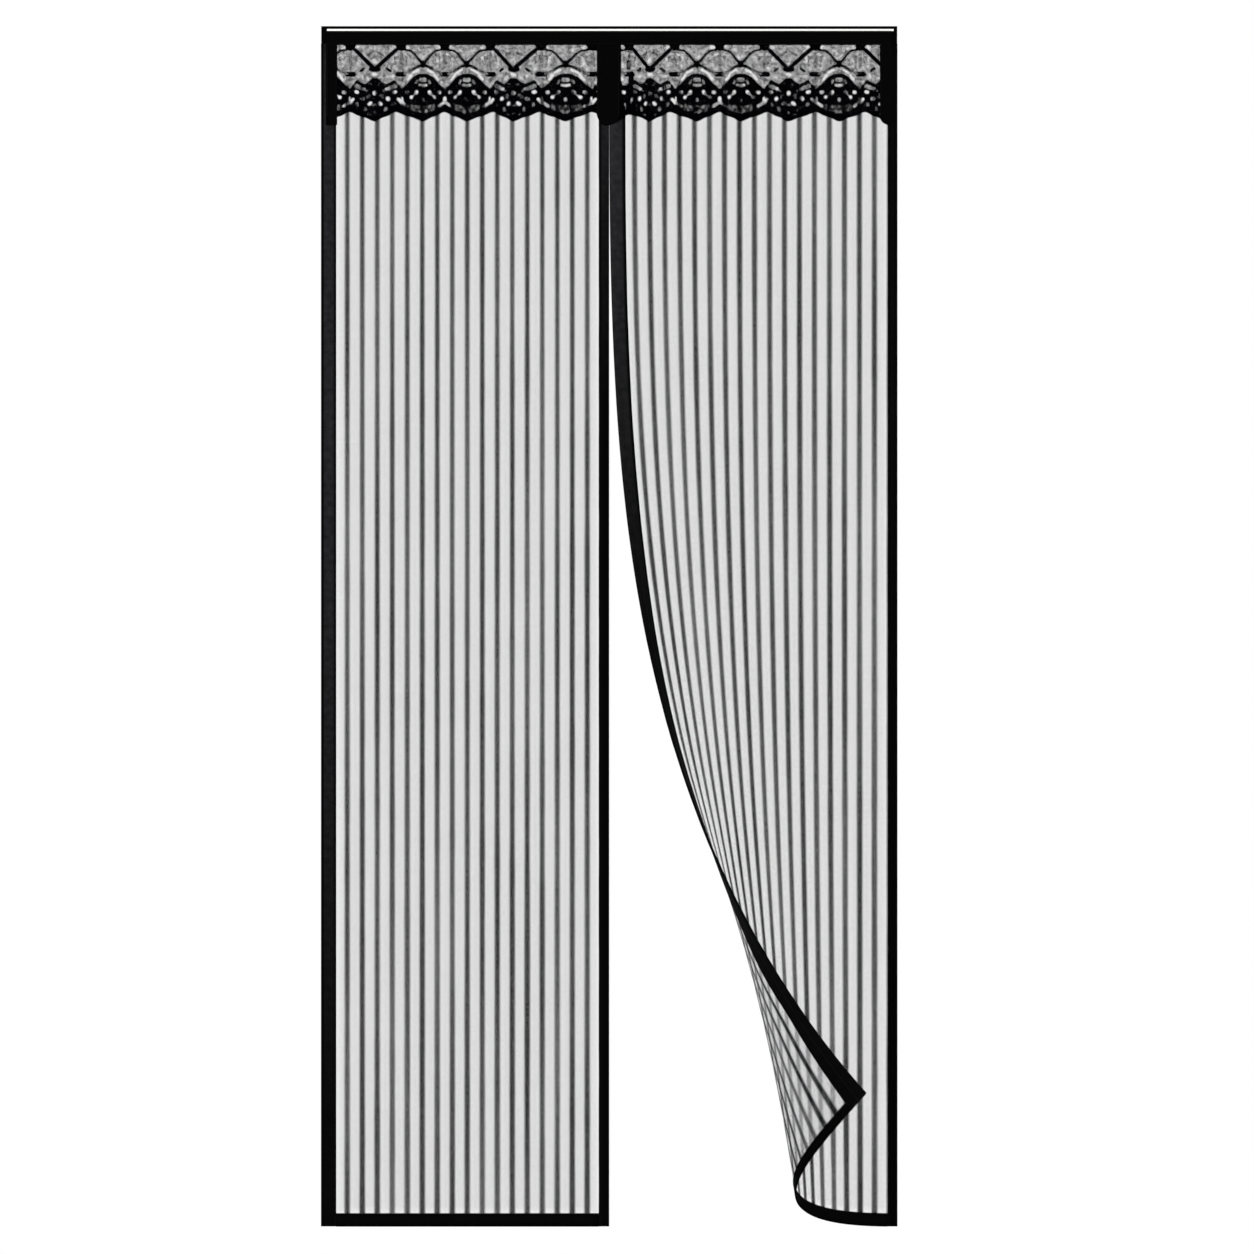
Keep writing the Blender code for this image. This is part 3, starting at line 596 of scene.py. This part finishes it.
# Beside the centre cover the right lace hangs lower and is drawn in a little, which closes its pattern up.
# These places are across from the screen's middle.
HANGS_LOWER = ((0, 10, 22, 48), (0, 8, 8, 0))
DRAWN_IN = [
    (35, 51, 35, 53, 2.5, 0.7), (34, 63, 33.5, 73, 3.6, 0.65), (38.5, 83, 38.5, 100, 4.6, 1),
    (34, 104, 33, 158, 4.5, 1), (25, 99.5, 25, 100.5, 2.8, -0.5), (26.5, 141, 26, 144, 2.6, 0.3),
]


def in_repeat(x, middles, bounds):
    """Which repeat each x falls in, and how far from its middle, as a share of the way to its bound."""
    middles, bounds = np.array(middles), np.array(bounds)
    number = np.clip(np.searchsorted(bounds, x) - 1, 0, len(middles) - 1)
    bound = np.where(x < middles[number], bounds[number], bounds[number + 1])
    return number, (x - middles[number]) / (bound - middles[number])


def lace_edge(x, middles, cusps):
    """How far down the scalloped edge reaches."""
    away = in_repeat(x, middles, cusps)[1]
    scallop = SCALLOP * np.cos(np.pi * away) + SCALLOP_POINT * np.cos(3 * np.pi * away)
    return EDGE_MEAN + scallop + np.interp(x, *HANGS_LOWER)


def lay(cloth, marks, away, v):
    """Works strokes into the cloth, each over the ones before it."""
    for start_x, start_v, end_x, end_v, half, dense in marks:
        run = np.array((end_x - start_x, end_v - start_v))
        along = ((away - start_x) * run[0] + (v - start_v) * run[1]) / max(run @ run, 1e-9)
        along = np.clip(along, 0, 1)
        distance = np.hypot(away - start_x - along * run[0], v - start_v - along * run[1])
        share = np.clip(0.5 + (half - distance) / MARK_EDGE, 0, 1)
        cloth += share * (dense - cloth)


def lace_pattern(x, v, middles, bounds, cusps):
    """How dense the lace is at each point."""
    number, share = in_repeat(x, middles, bounds)
    away = REPEAT_HALF * share
    cloth = np.zeros(len(x))
    for kind, dense_from, marks in (("V", VALLEY_DENSE, VALLEY), ("A", ARCH_DENSE, ARCH)):
        here = np.array([letter == kind for letter in KINDS])[number]
        part = np.clip(0.5 + (v[here] - np.interp(away[here], *dense_from)) / DENSE_EDGE, 0, 1)
        lay(part, BOTH_KINDS, away[here], v[here])
        lay(part, marks, away[here], v[here])
        cloth[here] = part
    lay(cloth, DRAWN_IN, x, v)
    border = np.clip((v - lace_edge(x, middles, cusps) + BORDER) / BORDER_EDGE, 0, 1)
    return cloth + border * (1 - cloth)


lace_yarn, tree, shader = new_material(
    "knitted_polyester_lace", Base_Color=linear("#020203"), Roughness=0.8, Specular_IOR_Level=0
)
# The net ground of the lace has 1.2 mm meshes, set cornerwise. The threads close up in the dense cloth.
LACE_MESH = 1.2
flat = add(tree, "UVMap", uv_map="flat")
share = add(tree, "Attribute", attribute_name="thread_share")
mottle = add(tree, "TexNoise", {"Vector": flat, "Scale": 120.0, "Detail": 1.5, "Roughness": 0.6})
mottle = {"Value": mottle, "From Min": 0.3, "From Max": 0.7, "To Min": -0.24, "To Max": 0.34}
mottle = add(tree, "MapRange", mottle)
room = add(tree, "Math", {0: 1.0, 1: share.outputs["Fac"]}, operation="SUBTRACT")
mottle = add(tree, "Math", {0: mottle, 1: room}, operation="MULTIPLY")
share = add(tree, "Math", {0: share.outputs["Fac"], 1: mottle}, operation="ADD")
width = add(tree, "Math", {0: share, 1: LACE_MESH / 2}, operation="MULTIPLY")
place = add(tree, "VectorRotate", {"Vector": flat, "Angle": math.pi / 4}, rotation_type="Z_AXIS")
place = add(tree, "SeparateXYZ", {0: add(tree, "VectorMath", {0: place, "Scale": 1000}, operation="SCALE")})
wale = add(tree, "Math", {0: place.outputs["X"], 1: LACE_MESH / 2}, operation="PINGPONG")
course = add(tree, "Math", {0: place.outputs["Y"], 1: LACE_MESH / 2}, operation="PINGPONG")
wale = add(tree, "Math", {0: wale, 1: width}, operation="LESS_THAN")
course = add(tree, "Math", {0: course, 1: width}, operation="LESS_THAN")
threads = add(tree, "Math", {0: wale, 1: course}, operation="MAXIMUM")
tree.links.new(threads.outputs[0], shader.inputs["Alpha"])


def lace_valance(name, low, high, middles, bounds, cusps, replaced):
    """Lace from low to high, its foot drawn to the scallops, its openings cut and its dense parts raised."""
    columns = round((high - low) / LACE_STEP)
    bm = cloth_grid((low / 1000, LACE_HEAD / 1000), (high / 1000, LACE_FOOT / 1000), columns, LACE_ROWS)
    places = np.array([(vert.co.x, vert.co.z) for vert in bm.verts]) * 1000
    x, v = places[:, 0], places[:, 1]
    v = LACE_HEAD + (v - LACE_HEAD) / (LACE_FOOT - LACE_HEAD) * (lace_edge(x, middles, cusps) - LACE_HEAD)
    cloth = lace_pattern(x, v, middles, bounds, cusps)
    shares = np.interp(cloth, (-1, 0, 1), (OPEN_SHARE, GROUND_SHARE, DENSE_SHARE))
    layer = bm.verts.layers.float.new("thread_share")
    for vert, down, dense, share in zip(bm.verts, v, cloth, shares):
        vert.co = (vert.co.x, LACE_LAYER + LACE_RELIEF * max(dense, 0), down / 1000)
        vert[layer] = share
    bm.verts.ensure_lookup_table()
    bm.verts.index_update()
    openings = [face for face in bm.faces if all(cloth[vert.index] < CUT_BELOW for vert in face.verts)]
    bmesh.ops.delete(bm, geom=openings, context="FACES")
    rims = [vert for vert in bm.verts if vert.is_boundary and RIM_TOP < vert.co.z < RIM_FOOT]
    rims = [vert for vert in rims if low / 1000 + RIM_SIDE < vert.co.x < high / 1000 - RIM_SIDE]
    bmesh.ops.smooth_vert(bm, verts=rims, factor=0.5, use_axis_x=True, use_axis_z=True)
    return hung(name, bm, on_top, lace_yarn, replaced)


left_lace = lace_valance(
    "left_lace_valance", -478.5, -16.8, LEFT_MIDDLES, LEFT_BOUNDS, LEFT_CUSPS, ["left_lace"]
)
right_lace = lace_valance(
    "right_lace_valance", 13.6, 478.5, RIGHT_MIDDLES, RIGHT_BOUNDS, RIGHT_CUSPS, ["right_lace"]
)

# The tapes over the lace's ends
# Short lengths of the header's tape cover the lace's cut ends: one down each side, and a wider one at the
# middle, cut round at its foot and more so on the left. The right one's inner corner is rounded too.

END_TOP = HEADER_BOTTOM
END_WIDTH, LEFT_END_WIDTH, END_FOOT, END_CORNER = 0.0220, 0.0195, 0.1724, 0.0160
COVER_LOW, COVER_HIGH = -0.0218, 0.0186
COVER_LOWEST, COVER_SIDE, COVER_FOOT = -0.0030, 0.1560, 0.1735
RIGHT_RISE, RIGHT_BEND, LEFT_BEND = 0.0095, 1.4, 3


def round_corner(x):
    near = min(max(1 - (x - half_head + END_WIDTH) / END_CORNER, 0.0), 1.0)
    return END_FOOT - END_CORNER * (1 - math.sqrt(1 - near**2))


def round_foot(x):
    if x > COVER_LOWEST:
        return COVER_FOOT - RIGHT_RISE * ((x - COVER_LOWEST) / (COVER_HIGH - COVER_LOWEST)) ** RIGHT_BEND
    share = (COVER_LOWEST - x) / (COVER_LOWEST - COVER_LOW)
    return COVER_FOOT - (COVER_FOOT - COVER_SIDE) * share**LEFT_BEND


low, high = (-half_head, END_TOP), (LEFT_END_WIDTH - half_head, END_FOOT)
laid_tape("left_end_tape", low, high, 12, 40, lambda x: END_FOOT, ["left_lace_side_tape"])
low, high = (half_head - END_WIDTH, END_TOP), (half_head, END_FOOT)
laid_tape("right_end_tape", low, high, 24, 40, round_corner, ["right_lace_side_tape"])
low, high = (COVER_LOW, END_TOP), (COVER_HIGH, COVER_SIDE)
laid_tape("centre_cover_tape", low, high, 32, 40, round_foot, ["centre_cover"])

# The fixing tapes
# The hook side of hook-and-loop tape is sewn to the back of the head and of both outer edges. Its ground is
# woven nylon, and small nylon hooks stand on it in rows and meet the loops on the door frame.

FIXING_WALL = 0.0006
FIXING_MIDDLE = -0.00195
FIXING_HALF, FIXING_FOOT = 0.502, 2.098
TOP_FIXING, TOP_FIXING_FOOT = 0.005, 0.025
LEFT_FIXING_END, RIGHT_FIXING_START = -0.4797, 0.4894
WEAVE = 2
HOOK_PITCH = 0.0040
HOOK_REACH = 0.00095
HOOK_RADIUS, HOOK_BEND, HOOK_TURN = 0.00014, 0.00035, math.radians(200)
HOOK_INSET, HOOK_DOWN = 0.0018, 0.002

hook_nylon, tree, shader = new_material("woven_nylon_hook_tape", Roughness=0.5, Specular_IOR_Level=0.2)
place = add(tree, "TexCoord")
weave = add(tree, "VectorMath", {0: place.outputs["Object"], 1: (1, 0, 1)}, operation="MULTIPLY")
# The real weave is 0.5 mm wide. It is drawn at 2 mm, or it wouldn't show.
weave = add(tree, "TexChecker", {"Vector": weave, "Scale": 1000 / WEAVE}).outputs["Fac"]
shade = add(tree, "Mix", {0: weave, 6: linear("#0f0f10"), 7: linear("#1b1b1c")}, data_type="RGBA")
tree.links.new(shade.outputs[2], shader.inputs["Base Color"])
relief = add(tree, "Bump", {"Height": weave, "Strength": 0.3, "Distance": 0.0003})
tree.links.new(relief.outputs[0], shader.inputs["Normal"])


def hook_rows(name, low, high):
    """One nylon hook, spun over from its foot, and repeated in rows across and along the tape."""
    bm = bmesh.new()
    bmesh.ops.create_circle(bm, segments=4, radius=HOOK_RADIUS)
    bmesh.ops.rotate(bm, verts=bm.verts, cent=(0, 0, 0), matrix=Matrix.Rotation(math.pi / 2, 3, "X"))
    bmesh.ops.spin(
        bm, geom=bm.verts[:] + bm.edges[:], cent=(HOOK_BEND, 0, 0), axis=(0, 0, 1), dvec=(0, 0, 0),
        angle=-HOOK_TURN, steps=4, use_duplicate=False,
    )
    top = max(vert.co.y for vert in bm.verts)
    bmesh.ops.scale(bm, verts=bm.verts, vec=(1, HOOK_REACH / top, 1))
    bmesh.ops.recalc_face_normals(bm, faces=bm.faces)
    start = (low[0] + HOOK_INSET, FIXING_MIDDLE, low[1] + HOOK_DOWN)
    for vert in bm.verts:
        vert.co = (start[0] + vert.co.x, start[1] - vert.co.y, start[2] + vert.co.z)
    rows = hung(name, bm, on_top, hook_nylon, [], smooth=False)
    for axis, length in ((0, high[0] - low[0]), (2, high[1] - low[1])):
        repeat = rows.modifiers.new("rows", "ARRAY")
        repeat.use_relative_offset = False
        repeat.use_constant_offset = True
        repeat.constant_offset_displace = [0, 0, 0]
        repeat.constant_offset_displace[axis] = HOOK_PITCH if axis == 0 else -HOOK_PITCH
        repeat.count = int((length - 2 * HOOK_INSET) / HOOK_PITCH) + 1


def fixing_tape(name, low, high, columns, rows, replaced):
    bm = cloth_grid(low, high, columns, rows)
    for vert in bm.verts:
        vert.co.y = FIXING_MIDDLE
    hook_rows(name + "_hooks", low, high)
    return solid_cloth(hung(name, bm, on_top, hook_nylon, replaced), FIXING_WALL)


low, high = (-FIXING_HALF, TOP_FIXING), (FIXING_HALF, TOP_FIXING_FOOT)
fixing_tape("top_hook_tape", low, high, 60, 4, ["top_fixing_tape"])
low, high = (-FIXING_HALF, HALF_TOP), (LEFT_FIXING_END, FIXING_FOOT)
fixing_tape("left_hook_tape", low, high, 4, 60, ["left_fixing_tape"])
low, high = (RIGHT_FIXING_START, HALF_TOP), (FIXING_HALF, FIXING_FOOT)
fixing_tape("right_hook_tape", low, high, 4, 60, ["right_fixing_tape"])

# The stitching
# Every tape is sewn down with a lockstitch in black polyester thread, 4 mm a stitch, 2 mm in from its edges.
# The magnets' channel is closed by a row of its own. The thread shows on the front and on the back.

STITCH_PITCH = 0.0042
STITCH_HALF, STITCH_RADIUS = 0.0016, 0.0003
DOUBLINGS = 4
TWIST = 0.8
FROM_EDGE, FROM_CHANNEL = 0.002, 0.001
LEFT_FOOT_ROW, RIGHT_FOOT_ROW, BACK_ROW = (0.028, 0.485), (0.018, 0.478), (-0.5, 0.5)
TAPE_FRONT = FOLD_MIDDLE + FOLD_RADIUS + TAPE_WALL / 2
TAPE_BACK = FOLD_MIDDLE - FOLD_RADIUS - TAPE_WALL / 2
HEADER_FRONT = HEADER_MIDDLE + TAPE_WALL / 2

sewing_thread, tree, shader = new_material("black_sewing_thread", Roughness=0.6, Specular_IOR_Level=0.15)
place = add(tree, "TexCoord")
# The thread is twisted from three strands, each 0.2 mm thick. They are drawn at 0.8 mm.
twist = add(tree, "TexWave", {"Vector": place.outputs["Object"], "Scale": wave_scale(TWIST)})
shade = add(tree, "Mix", {0: twist, 6: linear("#070708"), 7: linear("#161617")}, data_type="RGBA")
tree.links.new(shade.outputs[2], shader.inputs["Base Color"])


def sewn(name, hang, rows):
    """Rows of stitches, each with two ends (across, down) and how far out it lies, repeated by doubling."""
    bm = bmesh.new()
    for start, end, n in rows:
        start, end = Vector((start[0], n, start[1])), Vector((end[0], n, end[1]))
        count = max(round((end - start).length / STITCH_PITCH / 2**DOUBLINGS), 1)
        step = (end - start) / (2**DOUBLINGS * count)
        size = Vector((STITCH_RADIUS,) * 3) + (STITCH_HALF - STITCH_RADIUS) * step.normalized()
        first = Matrix.Translation(start + step / 2) @ Matrix.Diagonal((*size, 1))
        row = bmesh.new()
        bmesh.ops.create_icosphere(row, subdivisions=1, radius=1, matrix=first)
        every = row.verts[:] + row.edges[:] + row.faces[:]
        bmesh.ops.spin(
            row, geom=every, cent=(0, 0, 0), axis=(0, 1, 0), dvec=step, angle=0, steps=count - 1,
            use_duplicate=True,
        )
        for doubling in range(DOUBLINGS):
            every = row.verts[:] + row.edges[:] + row.faces[:]
            made = bmesh.ops.duplicate(row, geom=every)["geom"]
            made = [part for part in made if isinstance(part, bmesh.types.BMVert)]
            bmesh.ops.translate(row, verts=made, vec=step * count * 2**doubling)
        held = bpy.data.meshes.new("row")
        row.to_mesh(held)
        row.free()
        bm.from_mesh(held)
        bpy.data.meshes.remove(held)
    return hung(name, bm, hang, sewing_thread, [])


def half_rows(side_width, sleeve_width, foot_row):
    """The rows on one half: its side tape, its sleeve's seam and channel, and its foot tape."""
    top, foot = HALF_TOP + FROM_EDGE, HEIGHT - FROM_EDGE
    channel = HALF_WIDTH - CHANNEL_SEAM - FROM_CHANNEL
    down = (side_width - FROM_EDGE, HALF_WIDTH - sleeve_width + FROM_EDGE, channel)
    across = HEIGHT - BOTTOM_HEM + FROM_EDGE
    rows = []
    for n in (TAPE_FRONT, TAPE_BACK):
        rows += [((u, top), (u, foot), n) for u in down]
        rows.append(((foot_row[0], across), (foot_row[1], across), n))
    return rows


left_rows = half_rows(LEFT_SIDE_WIDTH, LEFT_SLEEVE_WIDTH, LEFT_FOOT_ROW)
left_stitches = sewn("left_stitching", on_left, left_rows)
right_rows = half_rows(RIGHT_SIDE_WIDTH, RIGHT_SLEEVE_WIDTH, RIGHT_FOOT_ROW)
right_stitches = sewn("right_stitching", on_right, right_rows)
head_rows = []
for v in (HEADER_TOP + FROM_EDGE, HEADER_BOTTOM - FROM_EDGE):
    head_rows.append(((-half_head, v), (half_head, v), HEADER_FRONT))
for low, high in ((-half_head, LEFT_END_WIDTH - half_head), (half_head - END_WIDTH, half_head)):
    head_rows.append(((low + FROM_EDGE, END_TOP), (low + FROM_EDGE, END_FOOT - END_CORNER), HEADER_FRONT))
    head_rows.append(((high - FROM_EDGE, END_TOP), (high - FROM_EDGE, END_FOOT), HEADER_FRONT))
for x in (COVER_LOW + FROM_EDGE, COVER_HIGH - FROM_EDGE):
    head_rows.append(((x, END_TOP), (x, COVER_SIDE), HEADER_FRONT))
head_rows.append(((BACK_ROW[0], TOP_HEM - FROM_EDGE), (BACK_ROW[1], TOP_HEM - FROM_EDGE), TAPE_BACK))
sewn("head_stitching", on_top, head_rows)

# The stage
# A pale floor a little below the screen, soft light from the upper left and the right, and a camera square
# to the screen, as far off as it takes to see it without perspective.

SEEN = 2.1945
CAMERA_X, CAMERA_Y, CAMERA_Z = 0.0311, -5.0, -1.036
FLOOR_Z, FLOOR_HALF = -2.16, 12
LIT_HEIGHT = -1.0

camera = bpy.data.cameras.new("camera")
camera.type = "ORTHO"
camera.ortho_scale = SEEN
camera_object = bpy.data.objects.new("camera", camera)
camera_object.location = (CAMERA_X, CAMERA_Y, CAMERA_Z)
camera_object.rotation_euler = (math.pi / 2, 0, 0)
bpy.context.scene.collection.objects.link(camera_object)
bpy.context.scene.camera = camera_object

floor_paint, tree, shader = new_material("pale_studio_floor", Roughness=0.9)
place = add(tree, "TexCoord")
tone = add(tree, "TexNoise", {"Vector": place.outputs["Object"], "Scale": 1.5, "Detail": 2.0})
shade = add(tree, "Mix", {0: tone, 6: linear("#f2f2f1"), 7: linear("#f8f8f7")}, data_type="RGBA")
tree.links.new(shade.outputs[2], shader.inputs["Base Color"])
bm = bmesh.new()
bmesh.ops.create_grid(bm, x_segments=1, y_segments=1, size=FLOOR_HALF)
bmesh.ops.translate(bm, verts=bm.verts, vec=(0, 0, FLOOR_Z))
mesh = bpy.data.meshes.new("floor")
bm.to_mesh(mesh)
bm.free()
mesh.materials.append(floor_paint)
floor = bpy.data.objects.new("floor", mesh)
bpy.context.scene.collection.objects.link(floor)


def soft_light(name, place, size, power):
    """A rectangular lamp that faces the middle of the screen."""
    lamp = bpy.data.lights.new(name, "AREA")
    lamp.shape = "RECTANGLE"
    lamp.size, lamp.size_y = size
    lamp.energy = power
    lamp_object = bpy.data.objects.new(name, lamp)
    lamp_object.location = place
    towards = Vector((0, 0, LIT_HEIGHT)) - Vector(place)
    lamp_object.rotation_euler = towards.to_track_quat("-Z", "Y").to_euler()
    bpy.context.scene.collection.objects.link(lamp_object)


soft_light("key", (-2.4, -3.2, 1.0), (2.0, 2.4), 120)
soft_light("fill", (2.8, -3.0, 0.0), (2.4, 2.4), 60)
soft_light("back", (0.5, 3.2, 0.8), (2.4, 2.0), 60)

world = bpy.data.worlds.new("studio")
bpy.context.scene.world = world
world.use_nodes = True
tree = world.node_tree
tree.nodes.clear()
path = add(tree, "LightPath")
camera_ray, glossy_ray = path.outputs["Is Camera Ray"], path.outputs["Is Glossy Ray"]
seen = add(tree, "Math", {0: camera_ray, 1: glossy_ray}, operation="MAXIMUM")
seen = add(tree, "Math", {0: seen, 1: path.outputs["Is Transmission Ray"]}, operation="MAXIMUM")
light = add(tree, "Background", {"Color": linear("#ffffff"), "Strength": 0.45})
shown = add(tree, "Background", {"Color": linear("#ffffff"), "Strength": 1.0})
mixed = add(tree, "MixShader", {0: seen, 1: light, 2: shown})
add(tree, "OutputWorld", {"Surface": mixed})
bpy.context.scene.view_settings.view_transform = "Standard"
